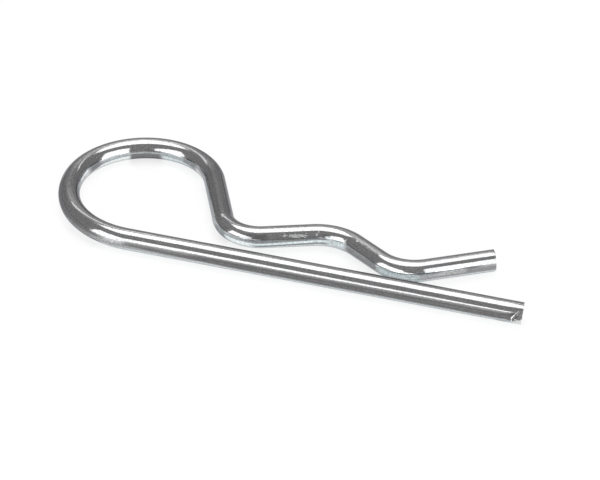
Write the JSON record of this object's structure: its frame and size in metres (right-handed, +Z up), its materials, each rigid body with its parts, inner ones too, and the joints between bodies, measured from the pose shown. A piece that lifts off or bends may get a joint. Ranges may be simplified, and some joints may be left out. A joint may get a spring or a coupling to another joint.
{
  "type": "hitch pin clip",
  "caption": "Hairpin-shaped spring wire clip. A straight leg goes through a shaft's cross hole, and a humped leg snaps over the shaft, with a round eye to pull it by.",
  "frame": {"origin": "under the middle of the clip's length and width, on the surface that it lies on", "axes": "+X along the straight leg towards its tip, +Y across the clip towards the sprung leg, +Z up"},
  "size_m": [0.0747, 0.0276, 0.0032],
  "materials": {
    "zinc": "bright zinc plate on spring steel wire, with small rubs, bending-tool marks and bare sheared ends"
  },
  "bodies": {
    "root": {"r_clip": "zinc"}
  },
  "joints": []
}
